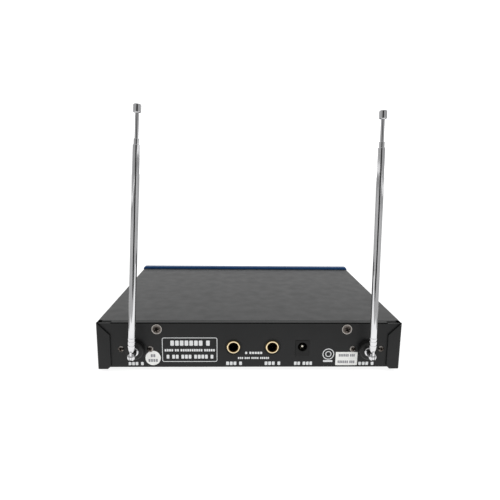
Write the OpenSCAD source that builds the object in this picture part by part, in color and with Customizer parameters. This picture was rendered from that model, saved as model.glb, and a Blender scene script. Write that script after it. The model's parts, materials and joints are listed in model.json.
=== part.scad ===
// Two-channel wireless microphone receiver with two telescopic antennas.
// The front faces -Y, the rear panel faces +Y, and the feet stand on Z = 0.

/* [Case] */
// Outer width of the folded steel cover
case_w = 205.5; // [200:0.5:215]
// Depth from the rear flanges to the back of the front bezel
case_d = 155; // [150:1:185]
// Height of the cover, from its lower edge to its top
case_h = 33; // [32:0.5:38]
// Thickness of the sheet steel
sheet = 1; // [0.8:0.1:1.2]
// Width of the rear flange on each side of the cover
flange_w = 8.8; // [7:0.1:10]
// Height of the rubber feet
foot_h = 3; // [2.5:0.5:6]

/* [Rear sockets] */
// Height of the audio sockets above the cover's lower edge
socket_up = 15.5; // [15:0.1:16.5]
// Sideways place of audio socket A
socket_a_x = -15; // [-16:0.1:-13]
// Sideways place of audio socket B
socket_b_x = 11.4; // [10:0.1:13]
// Sideways place of the power socket
dc_x = -35.6; // [-37:0.1:-34]
// Bore radius of the 6.35 mm audio sockets
plug_r = 3.2; // [3.2:0.05:3.3]

/* [Antennas] */
// Sideways place of antenna A
antenna_a_x = -80; // [-82:0.1:-78]
// Sideways place of antenna B
antenna_b_x = 77.3; // [76:0.1:80]
// Height of the antenna swivels above the cover's lower edge
antenna_up = 14; // [13:0.1:15]
// Lean of antenna A at rest, in degrees towards +X
lean_a = 1.4; // [-5:0.1:5]
// Lean of antenna B at rest, in degrees towards +X
lean_b = -3.5; // [-5:0.1:5]
// Distance from the elbow pin to the top of the lower tube
lower_top = 134; // [120:1:150]
// Radius of the lower tube
tube_r = 2.25; // [2.2:0.05:2.4]
// How far tip A stands out of its middle tube at rest, below its cap
tip_out_a = 12.8; // [8:0.1:20]
// How far tip B stands out of its middle tube at rest, below its cap
tip_out_b = 14.4; // [8:0.1:20]

/* [Front] */
// Thickness of the moulded bezel
bezel_t = 6; // [6:0.5:9]
// How far the bezel stands proud of the cover's top
bezel_rise = 2; // [0.6:0.1:3]
// Radius of the volume knobs
knob_r = 9; // [7:0.5:10]
// Height of the volume knobs
knob_h = 13; // [12:0.5:16]
// Sideways place of volume knob A
knob_a_x = 38; // [34:1:42]
// Sideways place of volume knob B
knob_b_x = 72; // [68:1:78]
// Radius of the power button
button_r = 4.5; // [4:0.5:5.5]

/* [Hidden] */
$fn = 64;
eps = 0.01;

// Places that follow from the case
antenna_out = 12.5;
ball_r = 2.65;
fold_gap = 0.15;
knob_gap = 0.6;
front_depth = bezel_t + knob_gap + knob_h;
rear_depth = antenna_out + ball_r - sheet - fold_gap;
rear_y = (case_d + front_depth - rear_depth) / 2;
front_y = rear_y - case_d;
panel_y = rear_y - sheet - fold_gap;
inside_y = panel_y - sheet;
half_w = case_w / 2;
floor_z = foot_h;
base_z = foot_h - 0.5;
top_z = base_z + case_h;
chassis_half_w = half_w - sheet - fold_gap;
bend_r = 1.1;
wall_y = front_y + 0.3;
antenna_z = base_z + antenna_up;
socket_z = base_z + socket_up;
dc_z = socket_z;
front_z = base_z + case_h / 2 + 0.25;

// Cover and chassis details
flange_bend = 1.2;
flange_chamfer = 2;
lip_h = 8;
lip_y = inside_y - fold_gap;
panel_top_gap = 0.7;
front_wall_gap = 2;
side_lip_h = 10;
rear_bend_r = 3;
antenna_xs = [antenna_a_x, antenna_b_x];
cover_screw_xs = [-65.4, 62.7];
cover_screw_z = top_z - 4.8;
side_screw_up = 6;
side_screw_ys = [front_y + 30, rear_y - 35];
paper_t = 0.15;
foot_r = 7;
foot_x = 84;
foot_ys = [front_y + 16, rear_y - 20];

// Screws, each as [head radius, head height, shank radius, shank length]
cover_screw = [2.6, 2.1, 1.5, 8];
cover_washer_r = 3.35;
small_screw = [2.2, 1.5, 1.2, 5.5];
side_screw = [2.8, 1.7, 1.4, 5];
board_screw = [2.6, 1.7, 1.4, 4];
floor_screw = [2.6, 1.2, 1.4, 3.2];
bezel_screw = [2.6, 1.7, 1.3, 5];
thread_gap = 0.05;
hole_gap = 0.15;

// Antenna boss and swivel
boss_r = 6;
boss_out = 4.5;
boss_plate = [27, 3, 12];
boss_screw_x = 9.8;
swivel_r = 2.7;
run_gap = 0.05;
ring_r = 3.05;
ring_end = 5.8;
neck_r = 2.3;
slot_w = 1.8;
pin_r = 0.8;
lug_t = 0.6;
swage_r = 3.8;
swage_t = 0.9;
wire_r = 0.9;
lead_up = 7;
lead_reach = 14;
lead_rise = 18;
lead_end = [52, 42];

// Telescopic sections, measured along the antenna from the elbow pin
tongue_t = 1.3;
tongue_r = 2.2;
foot_start = 3.3;
foot_nose = [1.95, 4.8];
foot_cone = 7.2;
foot_grooves = [8, 10.8];
groove_w = 0.7;
foot_end = 13.2;
foot_fit_r = 2.4;
lower_bore_r = tube_r - 0.3;
lower_bore_start = 13.2;
lip_len = 1;
middle_r = lower_bore_r - 0.2;
middle_bore_r = middle_r - 0.3;
middle_start = lower_bore_start + 1.5;
middle_top = lower_top + 3.4;
bush_len = 6;
rod_r = middle_bore_r - 0.2;
rod_start = middle_start + 1.5;
cap_len = 5.3;
cap_r = 2.5;
cap_grip = 3.5;

// Audio sockets
jack_body = [16, 30, 13.4];
nose_r = 5.6;
jack_bush_r = 4.5;
bush_out = 1.2;
bush_in = 8;
cavity_r = plug_r + 0.2;
cavity_len = 26;
contact_in = 3;

// Power socket
dc_body = [9.4, 14.4, 11];
dc_proud = 0.3;
dc_bore_r = 3.2;
dc_bore_len = 10;
dc_pin_r = 1.05;
dc_base_r = 1.8;

// Circuit boards
board_t = 1.6;
board_z = dc_z - 6.5;
board_w = 124;
board_d = 118;
board_y = inside_y - 1.5;
board_corners = [[-57, 6], [57, 6], [-57, 112], [57, 112], [0, 112]];
standoff_r = 3.2;
front_board_y = front_y + 8;
front_board = [188, board_t, 24];
header = [17, 5, 7];
ribbon_y = board_y - board_d + 5;
ribbon_z = board_z + header[2] + 6;
front_header_y = front_board_y + board_t;

// Front controls
shaft_r = 3;
shaft_flat = 1;
pot_body = [17, 5.8, 17];
pot_bush_r = 3.6;
bezel_wall = 2.5;
bezel_low = 1;
bezel_w = case_w + 1;
bezel_corner_r = 2.5;
bezel_edge_r = 1;
bezel_h = case_h + bezel_rise + bezel_low;
bezel_z = base_z - bezel_low + bezel_h / 2;
bezel_screw_x = 97;
bezel_screw_up = 10;
button_x = -82;
button_gap = 0.1;
button_out = 2.6;
button_flange_r = button_r + 0.9;
stem_r = 1.8;
window = [72, 17];
window_x = -22;
window_t = 1.5;
lamp_xs = [-46, -34, -22, -10, 2];
lamp_r = 1.5;

// ---- Helpers ----

// Turns a shape that stands along +Z so that it points to the rear
module to_rear() {
    rotate([-90, 0, 0]) children();
}

// Turns a shape that stands along +Z so that it points to the front
module to_front() {
    rotate([90, 0, 0]) children();
}

// Extrudes a flat outline drawn in X and Z, from the given Y towards the front
module plate_xz(y, t) {
    translate([0, y, 0]) rotate([90, 0, 0]) linear_extrude(t) children();
}

// Extrudes a flat outline drawn in Y and Z, along X about the middle
module bar_yz(length) {
    rotate([90, 0, 90]) translate([0, 0, -length / 2]) linear_extrude(length) children();
}

// Outline of a block with its two lower corners rounded
module round_bottom(w, h, r) {
    translate([-w / 2, r]) square([w, h - r]);
    translate([-w / 2 + r, 0]) square([w - 2 * r, r + eps]);
    for (s = [-1, 1]) translate([s * (w / 2 - r), r]) circle(r);
}

// Outline of a sheet folded into a tray
module folded_tray(w, h) {
    difference() {
        round_bottom(w, h, bend_r);
        translate([0, sheet]) round_bottom(w - 2 * sheet, h, bend_r - sheet + 0.2);
    }
}

// Outline of one quarter of a ring, in the first quadrant
module quarter_ring(r_out, r_in) {
    intersection() {
        difference() {
            circle(r_out);
            circle(r_in);
        }
        square(r_out);
    }
}

// Outline of a rectangle with four round corners, about its centre
module round_rect(w, h, r) {
    square([w - 2 * r, h], center = true);
    square([w, h - 2 * r], center = true);
    for (sx = [-1, 1], sy = [-1, 1]) translate([sx * (w / 2 - r), sy * (h / 2 - r)]) circle(r);
}

// Outline of a strip with round ends, about its centre
module oval(w, h) {
    square([w - h, h], center = true);
    for (s = [-1, 1]) translate([s * (w - h) / 2, 0]) circle(h / 2);
}

// Pan-head screw with a cross recess, head up from Z = 0 and shank below
module pan_screw(size) {
    head_r = size[0];
    head_h = size[1];
    dome_r = (head_r * head_r + head_h * head_h) / (2 * head_h);
    recess = [1.25 * head_r, 0.3 * head_r];
    difference() {
        union() {
            intersection() {
                translate([0, 0, head_h - dome_r]) sphere(dome_r);
                cylinder(r = head_r - 0.05, h = head_h);
            }
            translate([0, 0, -size[3]]) cylinder(r = size[2], h = size[3] + 0.2);
        }
        for (turn = [20, 110])
            rotate([0, 0, turn])
                translate([-recess[0] / 2, -recess[1] / 2, 0.4 * head_h])
                    cube([recess[0], recess[1], head_h]);
    }
}

// Point, direction and ring of a smooth four-point curve
function curve(p, t) = pow(1 - t, 3) * p[0] + 3 * pow(1 - t, 2) * t * p[1]
    + 3 * (1 - t) * t * t * p[2] + pow(t, 3) * p[3];
function heading(p, t) = pow(1 - t, 2) * (p[1] - p[0]) + 2 * (1 - t) * t * (p[2] - p[1])
    + t * t * (p[3] - p[2]);
function unit(v) = v / norm(v);
function ring_at(p, t, r, n) = let (
        ahead = unit(heading(p, t)),
        side = unit(cross(ahead, [1, 0, 0])),
        lift = cross(side, ahead)
    ) [for (i = [0 : n - 1]) curve(p, t) + r * (cos(360 * i / n) * side + sin(360 * i / n) * lift)];

module wire(p, r, rings = 16, n = 8) {
    points = [for (k = [0 : rings]) each ring_at(p, k / rings, r, n)];
    walls = [for (k = [0 : rings - 1], i = [0 : n - 1])
        [k * n + i, k * n + (i + 1) % n, (k + 1) * n + (i + 1) % n, (k + 1) * n + i]];
    first = [for (i = [n - 1 : -1 : 0]) i];
    last = [for (i = [0 : n - 1]) rings * n + i];
    polyhedron(points = points, faces = concat([first], walls, [last]));
}

// Puts children at an antenna's swivel, with Y out of the panel and Z up the antenna
module at_swivel(x, lean) {
    translate([x, panel_y, antenna_z]) rotate([0, lean, 0]) children();
}

// Puts children at an antenna's elbow pin
module at_elbow(x, lean) {
    at_swivel(x, lean) translate([0, antenna_out, 0]) children();
}

// ---- Case ----

module side_screw_holes(r) {
    for (y = side_screw_ys)
        translate([-case_w, y, base_z + side_screw_up])
            rotate([0, 90, 0]) cylinder(r = r, h = 2 * case_w);
}

module rear_flange(s) {
    mitre_x = half_w - flange_w - 1;
    difference() {
        translate([0, 0, base_z]) linear_extrude(case_h) {
            translate([s * (half_w - flange_bend), rear_y - flange_bend])
                mirror([s < 0 ? 1 : 0, 0]) quarter_ring(flange_bend, flange_bend - sheet);
            translate([s > 0 ? half_w - flange_w : -half_w + flange_bend - eps, rear_y - sheet])
                square([flange_w - flange_bend + eps, sheet]);
        }
        plate_xz(rear_y + 1, 3) polygon([
            [s * half_w, top_z],
            [s * mitre_x, top_z - flange_w - 1],
            [s * mitre_x, top_z + 1],
            [s * half_w, top_z + 1]
        ]);
        plate_xz(rear_y + 1, 3) polygon([
            [s * mitre_x, base_z - 1],
            [s * mitre_x, base_z + flange_chamfer + 1],
            [s * (half_w - flange_w + flange_chamfer + 1), base_z - 1]
        ]);
    }
}

module rear_lip() {
    bar_yz(2 * chassis_half_w - 4) {
        translate([lip_y - rear_bend_r, top_z - rear_bend_r]) quarter_ring(rear_bend_r, rear_bend_r - sheet);
        translate([lip_y - sheet, top_z - lip_h]) square([sheet, lip_h - rear_bend_r + eps]);
    }
}

module top_cover() {
    color("#585b5c") difference() {
        union() {
            difference() {
                plate_xz(rear_y - flange_bend + eps, case_d - flange_bend - 0.1)
                    translate([0, top_z]) mirror([0, 1]) folded_tray(case_w, case_h);
                translate([-half_w + sheet, lip_y - rear_bend_r, top_z - 3])
                    cube([case_w - 2 * sheet, 10, 4]);
            }
            rear_flange(-1);
            rear_flange(1);
            rear_lip();
        }
        for (x = cover_screw_xs)
            translate([x, lip_y - 3, cover_screw_z])
                to_rear() cylinder(r = cover_screw[2] + thread_gap, h = 4);
        side_screw_holes(side_screw[2] + hole_gap);
    }
}

module rear_cutouts() {
    for (x = cover_screw_xs)
        translate([x, inside_y - 1, cover_screw_z]) to_rear() cylinder(r = cover_screw[2] + hole_gap, h = 3);
    for (x = antenna_xs) {
        translate([x, inside_y - 1, antenna_z]) to_rear() cylinder(r = boss_r + 0.1, h = 3);
        for (t = [-1, 1])
            translate([x + t * boss_screw_x, inside_y - 1, antenna_z])
                to_rear() cylinder(r = small_screw[2] + hole_gap, h = 3);
    }
    for (x = [socket_a_x, socket_b_x])
        translate([x, inside_y - 1, socket_z]) to_rear() cylinder(r = nose_r + hole_gap, h = 3);
    translate([dc_x - dc_body[0] / 2 - 0.1, inside_y - 1, dc_z - 6.5 - 0.1])
        cube([dc_body[0] + 0.2, 3, dc_body[2] + 0.2]);
}

module front_cutouts() {
    translate([0, wall_y - 1, front_z]) {
        for (x = [knob_a_x, knob_b_x])
            translate([x, 0, 0]) to_rear() cylinder(r = pot_bush_r + hole_gap, h = 3);
        translate([button_x, 0, 0]) to_rear() cylinder(r = stem_r + 1, h = 3);
        for (x = lamp_xs) translate([x, 0, 0]) to_rear() cylinder(r = lamp_r + 0.5, h = 3);
    }
    for (sx = [-1, 1], sz = [-1, 1])
        translate([sx * bezel_screw_x, wall_y - 1, front_z + sz * bezel_screw_up])
            to_rear() cylinder(r = bezel_screw[2] + hole_gap, h = 3);
}

module chassis_base() {
    tray_d = panel_y - wall_y;
    tray_h = top_z - panel_top_gap - floor_z;
    lip_d = tray_d - 8;
    color("#43464a") difference() {
        union() {
            bar_yz(2 * chassis_half_w)
                translate([wall_y + tray_d / 2, floor_z]) folded_tray(tray_d, tray_h);
            for (s = [-1, 1])
                translate([s * (chassis_half_w - sheet / 2) - sheet / 2, wall_y + 4, floor_z + eps])
                    cube([sheet, lip_d, side_lip_h]);
        }
        translate([-case_w, wall_y - 1, top_z - front_wall_gap]) cube([2 * case_w, 4, 10]);
        rear_cutouts();
        front_cutouts();
        side_screw_holes(side_screw[2] + thread_gap);
        for (c = board_corners)
            translate([c[0], board_y - c[1], floor_z - 1]) cylinder(r = board_screw[2] + hole_gap, h = 3);
    }
}

module rubber_feet() {
    color("#1c1c1e")
        for (s = [-1, 1], y = foot_ys)
            translate([s * foot_x, y, 0]) {
                cylinder(r1 = foot_r - 1, r2 = foot_r, h = 1);
                translate([0, 0, 1 - eps]) cylinder(r = foot_r, h = foot_h - 1 + eps);
            }
}

module cover_screws() {
    color("#c9c4bd")
        for (x = cover_screw_xs)
            translate([x, panel_y, cover_screw_z]) to_rear() {
                difference() {
                    cylinder(r = cover_washer_r, h = 0.6);
                    translate([0, 0, -1]) cylinder(r = cover_screw[0] - 1, h = 3);
                }
                translate([0, 0, 0.3]) pan_screw(cover_screw);
            }
}

module side_screws() {
    color("#2a2b2d")
        for (s = [-1, 1], y = side_screw_ys)
            translate([s * half_w, y, base_z + side_screw_up]) rotate([0, s * 90, 0]) pan_screw(side_screw);
}

module bezel_screws() {
    color("#9a9a98")
        for (sx = [-1, 1], sz = [-1, 1])
            translate([sx * bezel_screw_x, wall_y + sheet, front_z + sz * bezel_screw_up])
                to_rear() pan_screw(bezel_screw);
}

module antenna_screws() {
    color("#c9c4bd")
        for (x = antenna_xs, t = [-1, 1])
            translate([x + t * boss_screw_x, panel_y, antenna_z])
                to_rear() pan_screw(small_screw);
}

// Outline of the bezel's rim, from its corner axis outwards, with both edges rounded
module rim_outline() {
    r = bezel_edge_r;
    square([bezel_corner_r - r, bezel_t]);
    translate([bezel_corner_r - r, r]) square([r, bezel_t - 2 * r]);
    for (z = [r, bezel_t - r])
        translate([bezel_corner_r - r, z]) circle(r);
}

// Block with round corners and round front and rear edges
module bezel_block() {
    core_w = bezel_w - 2 * bezel_corner_r;
    core_h = bezel_h - 2 * bezel_corner_r;
    translate([0, front_y, bezel_z]) to_front() {
        linear_extrude(bezel_t) square([core_w, core_h], center = true);
        for (s = [-1, 1]) {
            translate([0, s * core_h / 2, 0]) rotate([90, 0, s * 90])
                translate([0, 0, -core_w / 2]) linear_extrude(core_w) rim_outline();
            translate([s * core_w / 2, 0, 0]) rotate([90, 0, s > 0 ? 0 : 180])
                translate([0, 0, -core_h / 2]) linear_extrude(core_h) rim_outline();
        }
        for (sx = [-1, 1], sy = [-1, 1])
            translate([sx * core_w / 2, sy * core_h / 2, 0])
                rotate_extrude() rim_outline();
    }
}

module front_bezel() {
    color("#1c4fae") difference() {
        union() {
            difference() {
                bezel_block();
                translate([0, 0, bezel_z]) plate_xz(front_y + eps, bezel_t - bezel_wall)
                    round_rect(bezel_w - 4, bezel_h - 4, 2.5);
            }
            for (sx = [-1, 1], sz = [-1, 1])
                translate([sx * bezel_screw_x, front_y, front_z + sz * bezel_screw_up])
                    to_front() cylinder(r = 3.2, h = bezel_t - bezel_wall + 0.2);
        }
        for (sx = [-1, 1], sz = [-1, 1])
            translate([sx * bezel_screw_x, front_y + 1, front_z + sz * bezel_screw_up])
                to_front() cylinder(r = bezel_screw[2] + thread_gap, h = 5.5);
        for (x = [knob_a_x, knob_b_x])
            translate([x, front_y, front_z]) to_front() cylinder(r = pot_bush_r + 0.6, h = bezel_t + 1);
        translate([button_x, front_y, front_z])
            to_front() cylinder(r = button_r + button_gap, h = bezel_t + 1);
        translate([window_x, 0, front_z]) plate_xz(front_y - bezel_t + window_t, window_t + 1)
            round_rect(window[0] + 0.2, window[1] + 0.2, 2.1);
        for (x = lamp_xs)
            translate([x, front_y, front_z]) to_front() cylinder(r = lamp_r + 0.3, h = bezel_t + 1);
    }
}

module display_window() {
    color("#15171c") difference() {
        translate([window_x, 0, front_z])
            plate_xz(front_y - bezel_t + window_t - run_gap, window_t - run_gap)
                round_rect(window[0], window[1], 2);
        for (x = lamp_xs)
            translate([x, front_y, front_z]) to_front() cylinder(r = lamp_r + 0.15, h = bezel_t + 1);
    }
}

// Room for an antenna screw's head, at the edge of a sticker
module screw_notch(x) {
    translate([x, antenna_z]) circle(small_screw[0] + 0.1);
}

module spec_label() {
    color("#f1f1ee") plate_xz(panel_y + paper_t, paper_t) difference() {
        translate([-66.2, base_z + 6.9]) round_rect(15, 9.6, 0.3);
        screw_notch(antenna_a_x + boss_screw_x);
    }
}

module round_sticker() {
    color("#f1f1ee") plate_xz(panel_y + paper_t, paper_t) difference() {
        translate([65.7, base_z + 7.5]) circle(5.15);
        screw_notch(antenna_b_x - boss_screw_x);
    }
}

// ---- Antennas ----

module antenna_boss(x) {
    color("#26272a") difference() {
        translate([x, inside_y - boss_plate[1], antenna_z]) to_rear() {
            linear_extrude(boss_plate[1] - fold_gap) oval(boss_plate[0], boss_plate[2]);
            cylinder(r = boss_r, h = boss_plate[1] + sheet + boss_out - 0.6);
            translate([0, 0, boss_plate[1] + sheet + boss_out - 0.6])
                cylinder(r1 = boss_r, r2 = boss_r - 0.6, h = 0.6);
        }
        translate([x, inside_y - 5, antenna_z]) to_rear() cylinder(r = swivel_r + run_gap, h = 20);
        for (t = [-1, 1])
            translate([x + t * boss_screw_x, inside_y - 5, antenna_z])
                to_rear() cylinder(r = small_screw[2] + thread_gap, h = 6);
    }
}

module swivel_fork(x, lean) {
    lug_back = sheet + boss_plate[1] + 2 * run_gap + lug_t;
    ring_start = boss_out + 0.1;
    slot_start = antenna_out - tongue_r - 0.4;
    color("#c8c9cb") at_swivel(x, lean) difference() {
        union() {
            translate([0, -lug_back - swage_t, 0]) to_rear() {
                cylinder(r = swage_r, h = swage_t);
                cylinder(r = swivel_r, h = lug_back + swage_t + ring_start + 0.2);
            }
            translate([0, ring_start, 0]) to_rear() {
                cylinder(r = ring_r, h = ring_end - ring_start - 0.4);
                translate([0, 0, ring_end - ring_start - 0.4])
                    cylinder(r1 = ring_r, r2 = ring_r - 0.4, h = 0.4);
                cylinder(r = neck_r, h = antenna_out - ring_start - 1);
            }
            translate([0, antenna_out, 0]) sphere(ball_r);
        }
        translate([-slot_w / 2, slot_start, -5]) cube([slot_w, 10, 10]);
        translate([-5, antenna_out, 0]) rotate([0, 90, 0]) cylinder(r = pin_r, h = 10);
    }
}

module elbow_pin(x, lean) {
    color("#aeb0b3") at_elbow(x, lean)
        rotate([0, 90, 0]) cylinder(r = pin_r, h = 2 * ball_r - 0.4, center = true);
}

module antenna_lug(x) {
    color("#c9a24a") difference() {
        translate([x, inside_y - boss_plate[1] - run_gap, antenna_z]) to_front() linear_extrude(lug_t) {
            circle(4.4);
            translate([-1.5, 0]) square([3, 9]);
        }
        translate([x, inside_y - 8, antenna_z]) to_rear() cylinder(r = swivel_r + run_gap, h = 8);
    }
}

// Leaves the lug square, curves over to the middle and stands square on the board
module antenna_lead(x) {
    start = [x, inside_y - boss_plate[1] - run_gap - lug_t, antenna_z + lead_up];
    landing = [x > 0 ? lead_end[0] : -lead_end[0], board_y - lead_end[1], board_z];
    color("#2b2b30")
        wire([start, start - [0, lead_reach, 0], landing + [0, 0, lead_rise], landing], wire_r);
}

module lower_tube(x, lean) {
    groove_r = foot_fit_r - 0.3;
    grooves = [for (z = foot_grooves) each [
        [foot_fit_r, z - 0.2], [groove_r, z], [groove_r, z + groove_w], [foot_fit_r, z + groove_w + 0.2]
    ]];
    profile = concat([
        [0, foot_start], [1.3, foot_start], foot_nose, [foot_fit_r, foot_cone]
    ], grooves, [
        [foot_fit_r, foot_end - 0.2], [tube_r, foot_end], [tube_r, lower_top - 0.3],
        [tube_r - 0.25, lower_top], [middle_r + run_gap, lower_top],
        [middle_r + run_gap, lower_top - lip_len], [lower_bore_r, lower_top - lip_len],
        [lower_bore_r, lower_bore_start], [0, lower_bore_start]
    ]);
    color("#d2d4d6") at_elbow(x, lean) {
        rotate_extrude() polygon(profile);
        difference() {
            union() {
                rotate([0, 90, 0]) cylinder(r = tongue_r, h = tongue_t, center = true);
                translate([-tongue_t / 2, -1.9, 0]) cube([tongue_t, 3.8, foot_start + 0.5]);
            }
            rotate([0, 90, 0]) cylinder(r = pin_r + run_gap, h = 5, center = true);
        }
    }
}

module middle_tube(x, lean) {
    profile = [
        [middle_bore_r, middle_start], [lower_bore_r - run_gap, middle_start],
        [lower_bore_r - run_gap, middle_start + bush_len], [middle_r, middle_start + bush_len],
        [middle_r, middle_top - 0.2], [middle_r - 0.2, middle_top],
        [rod_r + run_gap, middle_top], [rod_r + run_gap, middle_top - 0.8],
        [middle_bore_r, middle_top - 0.8]
    ];
    color("#c4c6c8") at_elbow(x, lean) rotate_extrude() polygon(profile);
}

module tip_rod(x, lean, out) {
    rod_top = middle_top + out + cap_grip;
    color("#d2d4d6") at_elbow(x, lean) {
        translate([0, 0, rod_start]) cylinder(r = middle_bore_r - run_gap, h = bush_len - 1);
        translate([0, 0, rod_start]) cylinder(r = rod_r, h = rod_top - rod_start);
    }
}

module tip_cap(x, lean, out) {
    round_r = 0.9;
    color("#dcdee0") at_elbow(x, lean) translate([0, 0, middle_top + out]) difference() {
        rotate_extrude() {
            square([cap_r - round_r, cap_len]);
            translate([0, round_r]) square([cap_r, cap_len - 2 * round_r]);
            for (z = [round_r, cap_len - round_r]) translate([cap_r - round_r, z]) circle(round_r);
        }
        translate([0, 0, -1]) cylinder(r = rod_r, h = cap_grip + 1);
    }
}

// ---- Sockets ----

module jack_body_at(x) {
    color("#1f2023") difference() {
        union() {
            translate([x - jack_body[0] / 2, inside_y - fold_gap - jack_body[1], board_z])
                cube(jack_body);
            translate([x, inside_y - 1, socket_z]) to_rear() cylinder(r = nose_r, h = 1 + sheet - 0.1);
        }
        translate([x, inside_y - bush_in, socket_z]) to_rear() cylinder(r = jack_bush_r, h = 20);
        translate([x, inside_y - cavity_len, socket_z]) to_rear() cylinder(r = cavity_r, h = 30);
        translate([x - 1.8, inside_y - cavity_len, socket_z - cavity_r - 1])
            cube([3.6, cavity_len - bush_in - 1, 2]);
        translate([x - 1.8, inside_y - cavity_len + contact_in - 0.2, board_z - 1])
            cube([3.6, 0.8, socket_z - board_z]);
    }
}

module jack_bush_at(x) {
    length = bush_in + sheet + bush_out;
    color("#d9b25c") translate([x, inside_y - bush_in, socket_z]) to_rear()
        rotate_extrude() polygon([
            [plug_r, 0], [jack_bush_r, 0], [jack_bush_r, length - 0.4], [jack_bush_r - 0.4, length],
            [plug_r + 0.3, length], [plug_r, length - 0.3]
        ]);
}

// Flat ground spring along the cavity's floor, and the tip spring at its end
module jack_contacts_at(x) {
    spring_z = socket_z - cavity_r + 0.35;
    color("#cfcac0") {
        translate([x - 1.6, inside_y - cavity_len + contact_in, spring_z])
            cube([3.2, cavity_len - bush_in - contact_in - 1.2, 0.4]);
        translate([x - 1.6, inside_y - cavity_len + contact_in, board_z + eps])
            cube([3.2, 0.4, spring_z - board_z]);
        translate([x - 1.3, inside_y - cavity_len + 0.1, socket_z - 1.5]) cube([2.6, 0.5, 3]);
    }
}

module dc_jack_body() {
    back_y = panel_y + dc_proud - dc_body[1];
    color("#1b1c1e") difference() {
        translate([dc_x - dc_body[0] / 2, back_y, board_z]) cube(dc_body);
        translate([dc_x, panel_y + dc_proud - dc_bore_len, dc_z]) to_rear() cylinder(r = dc_bore_r, h = 20);
        translate([dc_x, back_y - 1, dc_z]) to_rear() cylinder(r = dc_base_r, h = 10);
        translate([dc_x - 1.3, back_y + 2, dc_z - dc_bore_r - 0.9]) cube([2.6, 8, 2]);
    }
}

module dc_jack_pin() {
    back_y = panel_y + dc_proud - dc_body[1];
    tip_y = panel_y + dc_proud - 1.2;
    color("#d8d8d4") translate([dc_x, back_y, dc_z]) to_rear() {
        cylinder(r = dc_base_r, h = dc_body[1] - dc_bore_len);
        cylinder(r = dc_pin_r, h = tip_y - back_y - 0.4);
        translate([0, 0, tip_y - back_y - 0.4]) cylinder(r1 = dc_pin_r, r2 = dc_pin_r - 0.4, h = 0.4);
    }
}

module dc_jack_spring() {
    back_y = panel_y + dc_proud - dc_body[1];
    color("#d8d8d4") translate([dc_x - 1.2, back_y + 2.2, dc_z - dc_bore_r - 0.3]) cube([2.4, 7.6, 0.5]);
}

// ---- Circuit boards ----

module main_board() {
    color("#1f6b3a") difference() {
        translate([-board_w / 2, board_y - board_d, board_z - board_t]) cube([board_w, board_d, board_t]);
        for (c = board_corners)
            translate([c[0], board_y - c[1], board_z - 5]) cylinder(r = board_screw[2] + hole_gap, h = 8);
    }
}

module board_standoffs() {
    stand_h = board_z - board_t - floor_z - sheet;
    color("#c8b06a")
        for (c = board_corners)
            translate([c[0], board_y - c[1], floor_z + sheet]) difference() {
                cylinder(r = standoff_r, h = stand_h, $fn = 6);
                translate([0, 0, -1]) cylinder(r = board_screw[2] + thread_gap, h = stand_h + 2);
            }
}

module board_screws() {
    color("#b9b9b6")
        for (c = board_corners) {
            translate([c[0], board_y - c[1], board_z]) pan_screw(board_screw);
            translate([c[0], board_y - c[1], floor_z]) mirror([0, 0, 1]) pan_screw(floor_screw);
        }
}

module rf_shield(s) {
    size = [30, 38, 11];
    color("#b5b8ba") translate([s * 43, board_y - 70, board_z]) difference() {
        translate([-size[0] / 2, -size[1] / 2, 0]) cube(size);
        translate([-size[0] / 2 + 0.4, -size[1] / 2 + 0.4, -1])
            cube([size[0] - 0.8, size[1] - 0.8, size[2] + 0.6]);
        for (x = [-8, 0, 8], y = [-12, 0, 12]) translate([x, y, 5]) cylinder(r = 1.5, h = 10);
    }
}

module capacitors() {
    // Each can as [x, distance from the board's rear edge, radius, height]
    cans = [
        [-28.5, 22, 3.5, 11], [-30, 38, 5, 14], [26, 12, 3.2, 9], [34, 12, 3.2, 9],
        [26, 24, 3.2, 9], [-10, 42, 3.2, 8], [10, 42, 3.2, 8], [-16, 96, 3.2, 9], [16, 96, 3.2, 9]
    ];
    color("#24345c")
        for (c = cans) translate([c[0], board_y - c[1], board_z]) {
            cylinder(r = c[2], h = c[3] - 0.5);
            translate([0, 0, c[3] - 0.5]) cylinder(r1 = c[2], r2 = c[2] - 0.5, h = 0.5);
        }
}

module integrated_circuits() {
    // Each body as [x, distance from the board's rear edge, width, depth, height]
    chips = [
        [0, 56, 8, 18, 3.4], [-16, 58, 8, 10, 3.4], [16, 58, 8, 10, 3.4],
        [0, 80, 8, 10, 3.4], [44, 30, 8, 10, 3.4], [-16, 78, 5, 6, 1.8], [16, 78, 5, 6, 1.8]
    ];
    color("#202124")
        for (c = chips)
            translate([c[0] - c[2] / 2, board_y - c[1] - c[3] / 2, board_z]) cube([c[2], c[3], c[4]]);
}

module heat_sink() {
    color("#9a9da0") translate([-59, board_y - 29, board_z]) {
        cube([16, 2, 17]);
        for (i = [0 : 4]) translate([i * 3.6, 2 - eps, 0]) cube([1.6, 8, 17]);
    }
}

module voltage_regulator() {
    body_y = board_y - 29 - 4.5;
    color("#1d1e20") {
        translate([-56, body_y, board_z + 4]) cube([10, 4.5, 9]);
        translate([-56, body_y + 3.2, board_z + 4]) cube([10, 1.3, 12]);
        for (i = [-1, 0, 1]) translate([-51.3 + i * 2.5, body_y + 2, board_z]) cube([0.7, 0.6, 4.1]);
    }
}

module tuned_coils() {
    color("#a9acae")
        for (x = [-52, -42, -32, 32, 42, 52])
            translate([x, board_y - 98, board_z]) difference() {
                translate([-3.6, -3.6, 0]) cube([7.2, 7.2, 8.5]);
                translate([0, 0, 7]) cylinder(r = 2, h = 3);
            }
}

module crystals() {
    color("#c6c8ca")
        for (x = [-22, 22]) translate([x, board_y - 86, board_z]) linear_extrude(9) oval(10.5, 4.4);
}

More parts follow.
